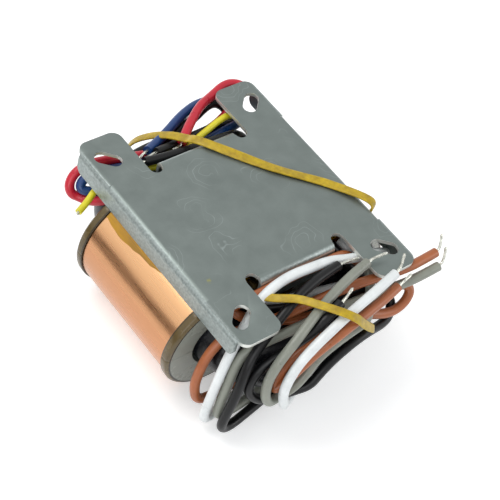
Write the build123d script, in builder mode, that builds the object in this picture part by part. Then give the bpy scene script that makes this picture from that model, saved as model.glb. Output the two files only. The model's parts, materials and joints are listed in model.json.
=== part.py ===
from build123d import *
from math import cos, pi, radians, sin, sqrt, tan
import os

# R-core transformer, in millimetres.
# X runs across the pair of coils, Y along their axes, and Z up to the mounting plate.
# The origin lies on the standing surface, under the middle of the core.

# Core: a closed loop of round section with two straight legs and two rounded ends
core_radius = 9.3
core_bend_radius = 14.0
core_end_gap = 3.0

# Bobbins, which are also what the transformer stands on
flange_radius = 18.9
flange_thickness = 2.8
flange_bevel = 0.7
bobbin_length = 44.4
bobbin_bore_clearance = 0.9
barrel_wall = 1.4
coil_gap = 1.1
lead_slot_inner = 6.2
lead_slot_depth = 4.4

# Windings, insulation and screen. The two windings share equally what the rest leaves below the flange's rim.
winding_end_gap = 0.2
inner_tape_thickness = 0.3
outer_tape_thickness = 0.3
foil_thickness = 0.2
foil_recess = 1.1
foil_opening_angle = 12.0
amber_tape_thickness = 0.15
amber_tape_inner_angle = 24.0
amber_tape_outer_angle = 52.0

# Bracket: one folded sheet
sheet = 1.2
bend_radius = 0.8
bracket_side_reach = 11.55
bracket_length = 78.0
plate_clearance = 1.9
side_flange_drop = 6.8
side_flange_relief = 2.8
side_flange_corner = 2.2
ear_end_inset = 0.6
ear_width = 14.1
ear_outer_corner = 3.0
tab_clearance = 0.8
rim_clearance = 0.15
tab_width = 25.7
tab_drop = 10.5
tab_corner = 2.0
relief_radius = 1.9
relief_inset = 2.0
slot_length = 8.0
slot_width = 4.3
slot_spacing_x = 50.1
slot_spacing_y = 61.5
slot_angle = 45.0

# Adhesive pads between the coils and the plate
pad_width = 12.0
pad_length = 34.0

# Leads and their bundles
lead_radius = 1.4
conductor_radius = 0.6
conductor_length = 5.5
exit_pitch = 3.0
bundle_gap = 1.8
bundle_half_width = 25.4
hank_top_gap = 1.7
hank_floor_gap = 1.2
hank_core_gap = 0.5
hank_width = 7.1
hank_rounding = 2.2
hank_corner = 10.8
hank_side_reach = 31.9
hank_side_thickness = 5.6
hank_bottom_thickness = 5.9
hank_front_y = -40.6
primary_bundle_right = 22.6
primary_bundle_far = 39.0
primary_top_gap = 3.0
primary_bundle_slope = 5.4
band_radius = 0.5
route_plate_top = 40.9

# Sizes that follow from the ones above
axis_x = flange_radius + coil_gap / 2
axis_z = flange_radius
yoke_y = bobbin_length / 2 + core_end_gap + core_radius
flange_face = bobbin_length / 2
bore_radius = core_radius + bobbin_bore_clearance
barrel_radius = bore_radius + barrel_wall
winding_half_length = flange_face - flange_thickness - winding_end_gap
foil_radius = flange_radius - foil_recess
outer_tape_radius = foil_radius - foil_thickness
secondary_radius = outer_tape_radius - outer_tape_thickness
winding_thickness = (secondary_radius - inner_tape_thickness - barrel_radius) / 2
primary_radius = barrel_radius + winding_thickness
inner_tape_radius = primary_radius + inner_tape_thickness
amber_radius = foil_radius + amber_tape_thickness
plate_under = axis_z + flange_radius + plate_clearance
plate_top = plate_under + sheet
half_width = axis_x + bracket_side_reach
half_length = bracket_length / 2
outer_bend = bend_radius + sheet
notch_half = half_width - ear_width
tab_outer = flange_face + tab_clearance + sheet
notch_base = tab_outer - outer_bend
side_flange_low = plate_top - side_flange_drop
lead_slot_outer = sqrt(flange_radius**2 - (side_flange_low - rim_clearance - axis_z) ** 2)
slot_floor = flange_radius - lead_slot_depth
hank_top = plate_under - hank_top_gap
bundle_bottom = axis_z + core_radius + hank_core_gap
bundle_start = tab_outer + bundle_gap
route_rise = plate_top / route_plate_top

os.makedirs("parts", exist_ok=True)
sides = (("left", -1), ("right", 1))

# The core: one half swept along its rounded centre line, then mirrored
with BuildPart() as core:
    with BuildLine() as core_line:
        FilletPolyline(
            (axis_x, 0, axis_z), (axis_x, yoke_y, axis_z), (-axis_x, yoke_y, axis_z), (-axis_x, 0, axis_z),
            radius=core_bend_radius,
        )
    core_path = core_line.wire()
    with BuildSketch(Plane(origin=core_path @ 0, z_dir=core_path % 0)):
        Circle(core_radius)
    sweep(path=core_path)
    mirror(about=Plane.XZ)
core.part.label = "core"
export_step(core.part, "parts/core.step")

# The bracket
with BuildPart() as bracket:
    # Plate with both side flanges, as one folded profile
    with BuildSketch(Plane.XZ):
        with BuildLine():
            low = side_flange_low
            inner_half = half_width - sheet
            FilletPolyline(
                (-half_width, low), (-half_width, plate_top), (half_width, plate_top), (half_width, low),
                radius=outer_bend,
            )
            Line((half_width, low), (inner_half, low))
            FilletPolyline(
                (inner_half, low), (inner_half, plate_under), (-inner_half, plate_under), (-inner_half, low),
                radius=bend_radius,
            )
            Line((-inner_half, low), (-half_width, low))
        make_face()
    extrude(amount=half_length - side_flange_relief, both=True)
    flange_ends = bracket.edges().filter_by(Axis.X).group_by(Axis.Z)[0]
    fillet(flange_ends, side_flange_corner)
    # The notches between the ears
    with BuildSketch(Plane.XY.offset(plate_under)):
        with Locations((0, half_length), (0, -half_length)):
            Rectangle(2 * notch_half, 2 * (half_length - notch_base))
    extrude(amount=sheet, mode=Mode.SUBTRACT)
    # Flat ears, which run on past the side flanges, with their outer corners rounded
    ear_end = half_width - ear_end_inset
    corner_tolerance = 0.01
    with BuildSketch(Plane.XY.offset(plate_under)) as ears:
        with GridLocations(ear_end + notch_half, half_length + notch_base, 2, 2):
            Rectangle(ear_end - notch_half, half_length - notch_base)
        tips = ears.vertices().filter_by(lambda v: abs(v.Y) > half_length - corner_tolerance)
        fillet(tips.filter_by(lambda v: abs(v.X) > ear_end - corner_tolerance), ear_outer_corner)
    extrude(amount=sheet)
    # End tabs, folded down at the foot of each notch
    for end in (-1, 1):
        with BuildSketch(Plane.YZ):
            with BuildLine():
                tab_low = plate_top - tab_drop
                back = end * (notch_base - outer_bend)
                outer_y = end * tab_outer
                inner_y = end * (tab_outer - sheet)
                FilletPolyline((back, plate_top), (outer_y, plate_top), (outer_y, tab_low), radius=outer_bend)
                Line((outer_y, tab_low), (inner_y, tab_low))
                FilletPolyline((inner_y, tab_low), (inner_y, plate_under), (back, plate_under), radius=bend_radius)
                Line((back, plate_under), (back, plate_top))
            make_face()
        extrude(amount=tab_width / 2, both=True)
    tab_ends = bracket.edges().filter_by(Axis.Y).group_by(Axis.Z)[0]
    fillet(tab_ends, tab_corner)
    # Round reliefs at the ends of each fold
    with BuildSketch(Plane.XY.offset(plate_under)):
        with GridLocations(2 * (notch_half - relief_inset), 2 * notch_base, 2, 2):
            Circle(relief_radius)
    extrude(amount=sheet, mode=Mode.SUBTRACT)
    # Slotted fixing holes, one in each ear
    with BuildSketch(Plane.XY.offset(plate_under)):
        for sx in (-1, 1):
            for sy in (-1, 1):
                with Locations((sx * slot_spacing_x / 2, sy * slot_spacing_y / 2)):
                    SlotOverall(slot_length, slot_width, rotation=sx * sy * slot_angle)
    extrude(amount=sheet, mode=Mode.SUBTRACT)
bracket.part.label = "bracket"
export_step(bracket.part, "parts/bracket.step")

# Coils: two half bobbins, two windings, their insulation, the foil and the tape
for name, side in sides:
    centre = side * axis_x
    coil_plane = Plane(origin=(centre, 0, axis_z), x_dir=(1, 0, 0), z_dir=(0, 1, 0))

    for half, turn in (("upper", -180), ("lower", 180)):
        with BuildPart() as bobbin_half:
            with BuildSketch(Plane.XY.offset(axis_z)):
                with BuildLine():
                    face = flange_face
                    inner = flange_face - flange_thickness
                    Polyline(
                        (centre + bore_radius, -face), (centre + flange_radius - flange_bevel, -face),
                        (centre + flange_radius, -face + flange_bevel), (centre + flange_radius, -inner),
                        (centre + barrel_radius, -inner), (centre + barrel_radius, inner),
                        (centre + flange_radius, inner), (centre + flange_radius, face - flange_bevel),
                        (centre + flange_radius - flange_bevel, face), (centre + bore_radius, face),
                        close=True,
                    )
                make_face()
            revolve(axis=Axis((centre, 0, axis_z), (0, 1, 0)), revolution_arc=turn)
            if half == "upper":
                # Wide slots through both flanges let the leads out
                slot_x = centre + side * (lead_slot_outer - lead_slot_inner) / 2
                with Locations((slot_x, 0, axis_z + slot_floor)):
                    Box(
                        lead_slot_inner + lead_slot_outer, bobbin_length, flange_radius,
                        align=(Align.CENTER, Align.CENTER, Align.MIN), mode=Mode.SUBTRACT,
                    )
        label = f"{name}_bobbin_{half}_half"
        bobbin_half.part.label = label
        export_step(bobbin_half.part, f"parts/{label}.step")

    layers = (
        ("primary_winding", barrel_radius, primary_radius),
        ("inner_insulation", primary_radius, inner_tape_radius),
        ("secondary_winding", inner_tape_radius, secondary_radius),
        ("outer_insulation", secondary_radius, outer_tape_radius),
    )
    for layer, inside, outside in layers:
        with BuildPart() as wound:
            with BuildSketch(coil_plane):
                Circle(outside)
                Circle(inside, mode=Mode.SUBTRACT)
            extrude(amount=winding_half_length, both=True)
        wound.part.label = f"{name}_{layer}"
        export_step(wound.part, f"parts/{name}_{layer}.step")

    # The foil stays open under the plate, so it is a screen and not a shorted turn
    with BuildPart() as foil:
        with BuildSketch(Plane.XY.offset(axis_z)):
            with Locations((centre + (outer_tape_radius + foil_radius) / 2, 0)):
                Rectangle(foil_thickness, 2 * winding_half_length)
        revolve(axis=Axis((centre, 0, axis_z), (0, 1, 0)), revolution_arc=360 - foil_opening_angle)
    foil_turn = -90 + foil_opening_angle / 2
    foil_solid = foil.part.rotate(Axis((centre, 0, axis_z), (0, 1, 0)), foil_turn)
    foil_solid.label = f"{name}_copper_foil"
    export_step(foil_solid, f"parts/{name}_copper_foil.step")

    # Amber tape over the top of the foil, down to just past the bracket's edge
    with BuildPart() as amber:
        with BuildSketch(coil_plane):
            Circle(amber_radius)
            Circle(foil_radius, mode=Mode.SUBTRACT)
            with BuildLine():
                reach = 2 * amber_radius
                inner_a = radians(amber_tape_inner_angle)
                outer_a = radians(amber_tape_outer_angle)
                Polyline(
                    (0, 0), (-side * reach * sin(inner_a), -reach * cos(inner_a)),
                    (side * reach * sin(outer_a), -reach * cos(outer_a)),
                    close=True,
                )
            make_face(mode=Mode.INTERSECT)
        extrude(amount=winding_half_length, both=True)
    amber.part.label = f"{name}_amber_tape"
    export_step(amber.part, f"parts/{name}_amber_tape.step")

    # Adhesive pad, hollowed to the coil below and flat under the plate
    with BuildPart() as pad:
        with BuildSketch(Plane.XY.offset(plate_under)):
            with Locations((centre, 0)):
                Rectangle(pad_width, pad_length)
        extrude(amount=axis_z - plate_under)
        with BuildSketch(coil_plane):
            Circle(amber_radius)
        extrude(amount=pad_length, both=True, mode=Mode.SUBTRACT)
    pad.part.label = f"{name}_adhesive_pad"
    export_step(pad.part, f"parts/{name}_adhesive_pad.step")

# Secondary leads. Their hank goes round the near end of the core: over it, down both ends and back below.
with BuildPart() as secondary_hank:
    ring_z = (hank_top + hank_floor_gap) / 2
    ring_height = hank_top - hank_floor_gap
    window_low = hank_floor_gap + hank_bottom_thickness
    with BuildSketch(Plane.XZ.offset(-hank_front_y - hank_width)):
        with Locations((0, ring_z)):
            RectangleRounded(2 * hank_side_reach, ring_height, hank_corner)
        with Locations((0, (window_low + bundle_bottom) / 2)):
            RectangleRounded(
                2 * (hank_side_reach - hank_side_thickness), bundle_bottom - window_low,
                hank_corner - hank_side_thickness, mode=Mode.SUBTRACT,
            )
    extrude(amount=hank_width)
    front_edges = secondary_hank.faces().sort_by(Axis.Y)[0].edges()
    fillet(front_edges, hank_rounding)
    mat_far = -bundle_start
    mat_near = hank_front_y + hank_width
    with BuildSketch(Plane.XY.offset(bundle_bottom)):
        with Locations((0, (mat_far + mat_near) / 2)):
            Rectangle(2 * bundle_half_width, mat_far - mat_near)
    extrude(amount=hank_top - bundle_bottom)
secondary_hank.part.label = "secondary_hank"
export_step(secondary_hank.part, "parts/secondary_hank.step")

# Primary leads. Their bundle lies over the far end of the core.
with BuildPart() as primary_hank:
    primary_top = plate_under - primary_top_gap
    slope_start = (bundle_start + primary_bundle_far) / 2
    with BuildSketch(Plane.YZ.offset(-bundle_half_width)):
        with BuildLine():
            Polyline(
                (bundle_start, bundle_bottom), (bundle_start, primary_top), (slope_start, primary_top),
                (primary_bundle_far, primary_top - primary_bundle_slope), (primary_bundle_far, bundle_bottom),
                close=True,
            )
        make_face()
    extrude(amount=bundle_half_width + primary_bundle_right)
    fillet(primary_hank.edges().filter_by(Axis.X).group_by(Axis.Z)[1:], hank_rounding / 2)
primary_hank.part.label = "primary_hank"
export_step(primary_hank.part, "parts/primary_hank.step")

# Where the leads leave the windings, through the flange slots, into the bundles
exits = {
    "left_secondary_exits": (-1, -1, (-1, 0, 1, 2)),
    "right_secondary_exits": (1, -1, (-1, 0, 1, 2)),
    "left_primary_exits": (-1, 1, (-1, 0, 1)),
    "right_primary_exits": (1, 1, (-1, 0)),
}
for label, (side, end, steps) in exits.items():
    with BuildPart() as stubs:
        for step in steps:
            across = step * exit_pitch
            place = (side * (axis_x + across), end * winding_half_length)
            height = axis_z + slot_floor + lead_radius
            stub_plane = Plane(origin=(place[0], place[1], height), z_dir=(0, end, 0))
            with BuildSketch(stub_plane):
                Circle(lead_radius)
            extrude(amount=bundle_start - winding_half_length)
    stubs.part.label = label
    export_step(stubs.part, f"parts/{label}.step")

# Routes of the leads that stand clear of the bundles, from the free end inwards.
# Their points were chosen with the plate's top at route_plate_top, and their heights follow the plate.
lead_routes = {
    "white_lead_front": [
        (19.7, -40.6, 43.2), (14.3, -41.6, 42.5), (8.4, -42.6, 41.6), (1.9, -43.6, 40.6),
        (-4.6, -44.7, 39.0), (-10.6, -45.6, 36.9), (-15.8, -46.3, 33.2), (-18.4, -46.8, 27.6),
        (-18.4, -46.7, 21.6), (-16.2, -46.2, 16.3), (-12.2, -44.4, 12.2), (-7.0, -41.0, 9.0),
        (-2.0, -38.0, 5.0),
    ],
    "grey_lead_front": [
        (15.8, -33.5, 42.4), (10.2, -34.5, 42.0), (4.1, -35.9, 41.4), (-2.4, -37.8, 40.5),
        (-8.9, -40.1, 39.5), (-15.4, -42.4, 37.4), (-20.4, -43.4, 33.2), (-22.2, -43.5, 26.4),
        (-20.8, -43.2, 18.2), (-17.6, -42.6, 10.8), (-12.2, -40.8, 5.6), (-5.4, -38.4, 4.2),
    ],
    "brown_lead_front": [
        (20.4, -42.5, 39.2), (14.8, -43.6, 38.4), (8.4, -44.5, 37.8), (2.4, -45.2, 37.0),
        (-3.4, -45.8, 35.2), (-8.4, -46.1, 31.2), (-11.0, -46.2, 25.6), (-10.8, -46.0, 18.8),
        (-7.6, -45.0, 12.6), (-2.4, -42.4, 8.0), (3.2, -38.6, 5.0),
    ],
    "grey_lead_end": [(38.1, -41.2, 36.2), (32.6, -41.0, 35.4), (26.8, -40.3, 34.4), (21.0, -39.0, 32.2)],
    "brown_lead_end": [(39.1, -38.0, 38.2), (34.1, -38.1, 37.9), (28.8, -37.9, 37.4), (23.3, -36.9, 36.0)],
    "black_lead_end": [(9.7, -29.2, 40.3), (4.4, -29.6, 40.1), (-1.2, -30.3, 39.3), (-6.8, -31.4, 36.8)],
    "red_lead_loop": [
        (-2.4, 28.6, 33.6), (3.0, 32.2, 36.3), (8.6, 35.6, 37.3), (14.8, 39.2, 37.1),
        (21.2, 42.2, 36.7), (26.8, 44.4, 36.2), (31.2, 45.0, 35.8), (34.8, 42.8, 35.4), (34.9, 39.4, 35.1),
        (32.0, 37.8, 34.8), (27.4, 37.5, 34.5), (22.8, 36.0, 33.9), (18.6, 33.8, 32.6),
    ],
    "red_lead_side": [
        (-21.4, 33.4, 34.6), (-26.6, 36.2, 34.6), (-31.0, 37.6, 32.2), (-32.4, 36.8, 27.9),
        (-30.4, 33.8, 25.3), (-27.0, 30.8, 27.0), (-22.8, 29.0, 31.0),
    ],
    "yellow_lead_end": [(-37.0, 25.3, 30.7), (-33.0, 27.0, 31.0), (-29.0, 29.2, 32.1), (-24.0, 31.4, 34.2)],
}

# Routes of the two closed rubber bands
band_routes = {
    "plate_band": [
        (2.2, 23.6, 41.7), (1.0, 29.2, 38.4), (-1.0, 34.6, 35.6), (-3.4, 39.6, 31.6), (-5.6, 43.6, 26.4),
        (-6.4, 45.4, 19.4), (-5.6, 43.6, 12.0), (-3.4, 38.4, 7.6), (-0.2, 31.2, 6.4), (5.9, 24.5, 3.8),
        (8.8, 18.0, 2.45), (15.2, 10.0, 0.56), (24.0, -3.0, 0.56), (32.2, -11.0, 4.8), (37.3, -15.0, 12.4),
        (38.3, -16.8, 21.5), (35.1, -17.1, 29.6), (32.05, -17.2, 35.8), (31.95, -16.6, 41.75),
        (25.4, -5.8, 41.52), (13.9, 7.3, 41.52),
    ],
    "lead_band": [
        (-14.2, -25.0, 38.9), (-9.1, -31.7, 39.7), (-4.6, -37.2, 42.7), (0.4, -43.6, 43.5), (4.4, -47.4, 39.4),
        (8.8, -47.2, 32.4), (10.8, -46.2, 24.0), (9.0, -45.2, 15.2), (5.0, -42.0, 8.6), (0.8, -33.6, 8.4),
        (-2.6, -26.6, 9.6), (-5.0, -23.7, 14.4), (-6.0, -23.7, 25.0), (-10.2, -24.5, 28.9), (-14.2, -25.1, 32.4),
    ],
}


def risen(route):
    """The route with its heights stretched between the floor and the plate."""
    return [(x, y, z * route_rise) for x, y, z in route]


def corner_radii(route):
    """The largest arc that each corner's two runs allow."""
    radii = []
    for before, here, after in zip(route, route[1:], route[2:]):
        one = Vector(here) - Vector(before)
        two = Vector(after) - Vector(here)
        half_turn = radians(one.get_angle(two)) / 2
        radii.append(0.45 * min(one.length, two.length) / tan(half_turn))
    return radii


def round_tube(route, radius):
    """A tube of straight runs and tangent arcs along a route."""
    with BuildPart() as tube:
        with BuildLine() as line:
            FilletPolyline(*route, radius=corner_radii(route))
        path = line.wire()
        with BuildSketch(Plane(origin=path @ 0, z_dir=path % 0)):
            Circle(radius)
        sweep(path=path)
    expected = path.length * pi * radius**2
    print(f"tube length {path.length:.1f}, volume over expected {tube.part.volume / expected:.4f}")
    return tube.part


def band_ring(route, radius):
    """A closed band, made of two tubes that meet in the middle of two runs."""
    points = [Vector(p) for p in route]
    split = len(points) // 2
    seam = (points[-1] + points[0]) / 2
    joint = (points[split - 1] + points[split]) / 2
    with BuildPart() as ring:
        add(round_tube([seam] + points[:split] + [joint], radius))
        add(round_tube([joint] + points[split:] + [seam], radius))
    return ring.part


bundles = secondary_hank.part + primary_hank.part
for label, route in lead_routes.items():
    print(label, "radii", [round(r, 1) for r in corner_radii(risen(route))])
    with BuildPart() as lead:
        add(round_tube(risen(route), lead_radius))
        add(bundles, mode=Mode.SUBTRACT)
    pieces = sorted(lead.part.solids(), key=lambda s: s.volume)
    lead_solid = Part(pieces[-1].wrapped)
    lead_solid.label = label
    export_step(lead_solid, f"parts/{label}.step")

for label, route in band_routes.items():
    ring = band_ring(risen(route), band_radius)
    ring.label = label
    export_step(ring, f"parts/{label}.step")

# Stripped and tinned conductor ends, straight on from each free end
conductor_starts = {
    "secondary_conductor_ends": [
        lead_routes[lead_name][:2]
        for lead_name in (
            "white_lead_front", "grey_lead_front", "brown_lead_front",
            "grey_lead_end", "brown_lead_end", "black_lead_end",
        )
    ],
    "primary_conductor_ends": [[(-6.5, 31.2, 37.3), (-10.9, 30.4, 37.3)]],
}
for label, starts in conductor_starts.items():
    with BuildPart() as conductors:
        for tip_start, lead_next in (risen(pair) for pair in starts):
            outward = Vector(tip_start) - Vector(lead_next)
            with BuildSketch(Plane(origin=tip_start, z_dir=outward)):
                Circle(conductor_radius)
            extrude(amount=conductor_length)
    conductors.part.label = label
    export_step(conductors.part, f"parts/{label}.step")
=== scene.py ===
import json
import logging
import math
from dataclasses import dataclass
from enum import Enum

import bmesh
import bpy
from mathutils import Matrix, Vector, noise

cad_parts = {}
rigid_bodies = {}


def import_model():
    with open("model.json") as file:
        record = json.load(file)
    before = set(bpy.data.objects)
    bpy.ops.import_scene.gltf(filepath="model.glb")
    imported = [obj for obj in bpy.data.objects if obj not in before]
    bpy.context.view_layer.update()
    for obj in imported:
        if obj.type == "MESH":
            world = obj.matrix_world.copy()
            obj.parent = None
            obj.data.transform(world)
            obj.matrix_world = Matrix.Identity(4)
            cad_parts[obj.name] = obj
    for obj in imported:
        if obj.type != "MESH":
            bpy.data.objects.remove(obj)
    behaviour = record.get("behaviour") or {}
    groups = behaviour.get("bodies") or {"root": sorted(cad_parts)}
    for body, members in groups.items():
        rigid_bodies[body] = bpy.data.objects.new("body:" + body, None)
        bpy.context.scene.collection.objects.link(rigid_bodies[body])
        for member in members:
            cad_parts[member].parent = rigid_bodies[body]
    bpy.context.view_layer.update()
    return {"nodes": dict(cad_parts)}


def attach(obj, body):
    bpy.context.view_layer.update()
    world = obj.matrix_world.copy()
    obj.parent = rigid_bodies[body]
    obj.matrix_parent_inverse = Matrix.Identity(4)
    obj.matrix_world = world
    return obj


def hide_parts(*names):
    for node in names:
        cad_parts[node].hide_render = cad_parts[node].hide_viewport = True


logging.basicConfig(level=logging.INFO, format="%(message)s")
log = logging.getLogger("transformer")

Point = tuple[float, float, float]
Colour = tuple[float, float, float, float]
Stops = tuple[tuple[float, float], ...]
Tree = bpy.types.NodeTree
Socket = bpy.types.NodeSocket
Outputs = bpy.types.bpy_prop_collection
Value = Socket | float | tuple[float, ...] | Vector
Material = bpy.types.Material
Shape = bpy.types.Mesh | bpy.types.Curve
Piece = bpy.types.Object
Skin = bmesh.types.BMesh

MM = 0.001
RELIEF = MM / 100
SQUARE_MM = MM ** 2

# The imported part's own places, in millimetres
AXIS_X = 19.45
AXIS_Z = 18.9
FOIL_HALF = 19.2

# Forms that only the scene has, in millimetres: how far the ears' inner corners stand out in X and in Y and their
# radius, the stain's place, the foil's radius, and where foil and tape end round a coil (Y and degrees from the top)
EAR_CORNER = (16.9, 39.0, 3.0)
STAIN_PLACE = (-25.5, -16.9, 40.9)
FOIL_OUTER = 18.35
FOIL_EDGE = ((-19.2, 352.0), (19.2, 352.0))
TAPE_EDGE = (
    (-19.2, 31.0), (-12.0, 33.0), (-6.0, 36.5), (-3.2, 39.0), (-0.6, 41.2), (3.0, 41.6), (6.5, 43.8), (11.8, 45.8),
    (15.6, 44.8), (19.2, 43.0),
)


class Tone(Enum):
    """Colours read from the photograph, as sRGB values."""

    WHITE = (236, 240, 240)
    GREY = (140, 143, 132)
    BROWN = (170, 97, 56)
    BLACK = (14, 15, 17)
    RED = (200, 30, 52)
    BLUE = (18, 60, 118)
    YELLOW = (232, 220, 50)
    ZINC = (123, 132, 129)
    ZINC_DARK = (113, 122, 119)
    COPPER = (242, 192, 142)
    AMBER = (206, 150, 4)
    RUBBER = (204, 174, 24)
    FACE = (156, 160, 150)
    RIM = (106, 88, 46)
    VARNISH = (12, 13, 16)
    TIN = (214, 216, 206)
    FLOOR = (252, 252, 252)

    @property
    def linear(self) -> Colour:
        """The colour as linear light, with full alpha."""
        return tuple(
            (c / 255 / 12.92) if c <= 10 else ((c / 255 + 0.055) / 1.055) ** 2.4 for c in self.value
        ) + (1.0,)


def mm(point: Point) -> Vector:
    """A point given in millimetres, in metres."""
    return Vector(point) * MM


# finishes


class HandlingMarks:
    """A shader group that the finishes share: cloudy patches and a fine grain."""

    NAME = "handling_marks"

    @classmethod
    def tree(cls) -> Tree:
        """Builds the group on first use.

        Returns:
            The group, with Cloud and Grain as its outputs.
        """
        made = bpy.data.node_groups.get(cls.NAME)
        if made is not None:
            return made
        made = bpy.data.node_groups.new(cls.NAME, "ShaderNodeTree")
        made.interface.new_socket("Vector", in_out="INPUT", socket_type="NodeSocketVector")
        for label, level in (("Cloud Scale", 200.0), ("Grain Scale", 1500.0)):
            made.interface.new_socket(label, in_out="INPUT", socket_type="NodeSocketFloat").default_value = level
        for label in ("Cloud", "Grain"):
            made.interface.new_socket(label, in_out="OUTPUT", socket_type="NodeSocketFloat")
        start, end = made.nodes.new("NodeGroupInput"), made.nodes.new("NodeGroupOutput")
        for label, detail, low, high in (("Cloud", 4.0, 0.3, 0.7), ("Grain", 2.5, 0.0, 1.0)):
            pattern, spread = made.nodes.new("ShaderNodeTexNoise"), made.nodes.new("ShaderNodeMapRange")
            pattern.inputs["Detail"].default_value = detail
            pattern.inputs["Roughness"].default_value = 0.6
            spread.inputs["From Min"].default_value = low
            spread.inputs["From Max"].default_value = high
            made.links.new(start.outputs["Vector"], pattern.inputs["Vector"])
            made.links.new(start.outputs[f"{label} Scale"], pattern.inputs["Scale"])
            made.links.new(pattern.outputs["Fac"], spread.inputs["Value"])
            made.links.new(spread.outputs["Result"], end.inputs[label])
        return made


class NodeMaker:
    """Short-hand for building one material's node tree."""

    def __init__(self, name: str) -> None:
        """Starts an empty material.

        Args:
            name: the material's name.
        """
        self.material = bpy.data.materials.new(name)
        self.material.use_nodes = True
        self.tree = self.material.node_tree
        self.tree.nodes.clear()
        out = self.node("ShaderNodeOutputMaterial")
        self.shader = self.node("ShaderNodeBsdfPrincipled")
        self.put(self.shader.outputs["BSDF"], out.inputs["Surface"])
        self.place = self.node("ShaderNodeTexCoord").outputs["Object"]

    def node(self, kind: str, **settings: object) -> bpy.types.Node:
        """Adds a node.

        Args:
            kind: the node's type name.
            settings: attributes of the node to set.

        Returns:
            The new node.
        """
        made = self.tree.nodes.new(kind)
        for key, value in settings.items():
            setattr(made, key, value)
        return made

    def put(self, value: Value, target: Socket) -> None:
        """Links a socket to an input, or sets the input to a fixed value.

        Args:
            value: an output socket, a number, a vector or a colour.
            target: the input socket.
        """
        if isinstance(value, Socket):
            self.tree.links.new(value, target)
        else:
            target.default_value = value

    def made(self, kind: str, inputs: dict[str | int, Value], **settings: object) -> Outputs:
        """Adds a node with its inputs.

        Args:
            kind: the node's type name.
            inputs: input names or numbers, and what each gets.
            settings: attributes of the node to set.

        Returns:
            The new node's output sockets.
        """
        made = self.node(kind, **settings)
        for key, value in inputs.items():
            self.put(value, made.inputs[key])
        return made.outputs

    def shaped(self, scale: Point = (1, 1, 1)) -> Socket:
        """Object coordinates, stretched along each axis."""
        return self.made("ShaderNodeMapping", {"Scale": scale, "Vector": self.place})["Vector"]

    def apart(self, vector: Socket | None = None) -> list[Socket]:
        """The X, Y and Z of a vector, or of the object coordinates."""
        return self.made("ShaderNodeSeparateXYZ", {"Vector": self.place if vector is None else vector}).values()

    def math(self, operation: str, first: Value, second: Value = 0.0) -> Socket:
        """A calculation on one or two values."""
        return self.made("ShaderNodeMath", {0: first, 1: second}, operation=operation)[0]

    def vectors(self, operation: str, *inputs: Value) -> Outputs:
        """A calculation on vectors, with the outputs Vector and Value."""
        return self.made("ShaderNodeVectorMath", dict(enumerate(inputs)), operation=operation)

    def marks(self, vector: Socket, cloud: float, grain: float) -> tuple[Socket, Socket]:
        """Places the shared group of handling marks.

        Args:
            vector: the coordinates.
            cloud: the patches' repeats per metre.
            grain: the grain's repeats per metre.

        Returns:
            The output sockets of the patches and of the grain.
        """
        inputs = {"Vector": vector, "Cloud Scale": cloud, "Grain Scale": grain}
        made = self.made("ShaderNodeGroup", inputs, node_tree=HandlingMarks.tree())
        return made["Cloud"], made["Grain"]

    def noise(self, vector: Socket, scale: float, detail: float = 3, rough: float = 0.5, warp: float = 0) -> Socket:
        """A noise texture's value, with its scale in repeats per metre."""
        inputs = {"Vector": vector, "Scale": scale, "Detail": detail, "Roughness": rough, "Distortion": warp}
        return self.made("ShaderNodeTexNoise", inputs)["Fac"]

    def ramp(self, value: Value, *stops: tuple[float, float]) -> Socket:
        """Remaps a value through straight lines between stops.

        Args:
            value: the value's socket.
            stops: pairs of position and result, both from 0 to 1.

        Returns:
            The output socket with the result.
        """
        made = self.node("ShaderNodeValToRGB")
        points = made.color_ramp.elements
        while len(points) < len(stops):
            points.new(0.5)
        for point, (place, level) in zip(points, stops):
            point.position = place
            point.color = (level, level, level, 1)
        self.put(value, made.inputs["Fac"])
        return made.outputs["Color"]

    def zone(self, length: Socket, span: float, *stops: tuple[float, float]) -> Socket:
        """Remaps a length through stops in millimetres, up to a span in millimetres."""
        return self.ramp(self.math("MULTIPLY", length, 1 / (span * MM)), *((at / span, level) for at, level in stops))

    def rise(self, length: Socket, low: float, high: float) -> Socket:
        """Rises from 0 to 1 between two lengths in millimetres."""
        limits = {"Value": length, "From Min": low * MM, "From Max": high * MM}
        return self.made("ShaderNodeMapRange", limits)["Result"]

    def mix(self, factor: Value, first: Value, second: Value) -> Socket:
        """Mixes two colours."""
        return self.made("ShaderNodeMix", {0: factor, 6: first, 7: second}, data_type="RGBA")[2]

    def finish(
        self, height: Socket | None = None, strength: float = 0, depth: float = 0, **values: Value
    ) -> Material:
        """Sets the shader's sockets and its bump.

        Args:
            height: the bump's height, a socket, or None for a smooth surface.
            strength: of the bump, from 0 to 1.
            depth: of the bump, in hundredths of a millimetre.
            values: socket names, with underscores for spaces, and what each gets.

        Returns:
            The finished material.
        """
        for key, value in values.items():
            self.put(value, self.shader.inputs[key.replace("_", " ")])
        if height is not None:
            bump = self.made("ShaderNodeBump", {"Strength": strength, "Distance": depth * RELIEF, "Height": height})
            self.put(bump["Normal"], self.shader.inputs["Normal"])
        return self.material


@dataclass(frozen=True)
class Insulation:
    """The extruded plastic sleeve of a lead."""

    tone: Tone
    gloss: float = 0.5
    shade: float = 0.9
    sheen: float = 1.06

    def build(self) -> Material:
        """Makes the material.

        Returns:
            A slightly uneven, satin plastic with faint handling marks.
        """
        m = NodeMaker(f"insulation_{self.tone.name.lower()}")
        base = self.tone.linear[:3]
        cloud, fine = m.marks(m.shaped(), 220, 2600)
        dark = tuple(c * self.shade for c in base) + (1,)
        light = tuple(min(1.0, c * self.sheen + 0.002) for c in base) + (1,)
        return m.finish(
            fine, 0.25, 6,
            Base_Color=m.mix(cloud, dark, light),
            Roughness=m.ramp(cloud, (0.0, 0.25), (1.0, 0.39)),
            IOR=1.5,
            Specular_IOR_Level=self.gloss,
        )


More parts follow.
